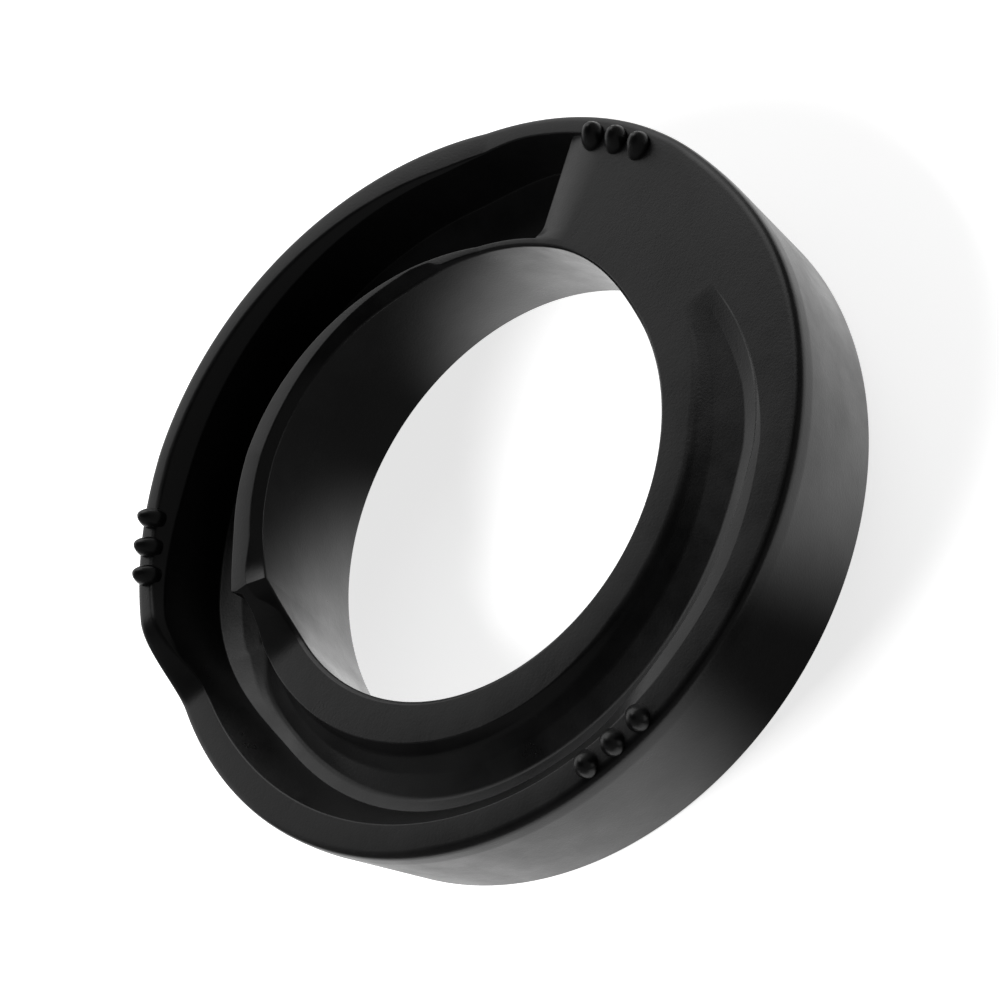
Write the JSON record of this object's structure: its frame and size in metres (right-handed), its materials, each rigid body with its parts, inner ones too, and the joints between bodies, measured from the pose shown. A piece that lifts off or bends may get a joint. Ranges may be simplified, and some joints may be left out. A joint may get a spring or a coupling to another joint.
{
  "type": "coil spring insulator",
  "caption": "Moulded rubber ring with a tapered bore, a helical groove and stop for a coil spring's end, a raised rim and small locating nubs.",
  "frame": {"origin": "where the ring's axis meets the flat back, the face that it rests on", "axes": "+Z along the ring's axis from the flat back to the grooved face; +X from the axis through the groove's stop"},
  "size_m": [0.1358, 0.1358, 0.0357],
  "materials": {
    "rubber": "satin black moulded rubber"
  },
  "bodies": {
    "root": {"spring_insulator": "rubber"}
  },
  "joints": []
}
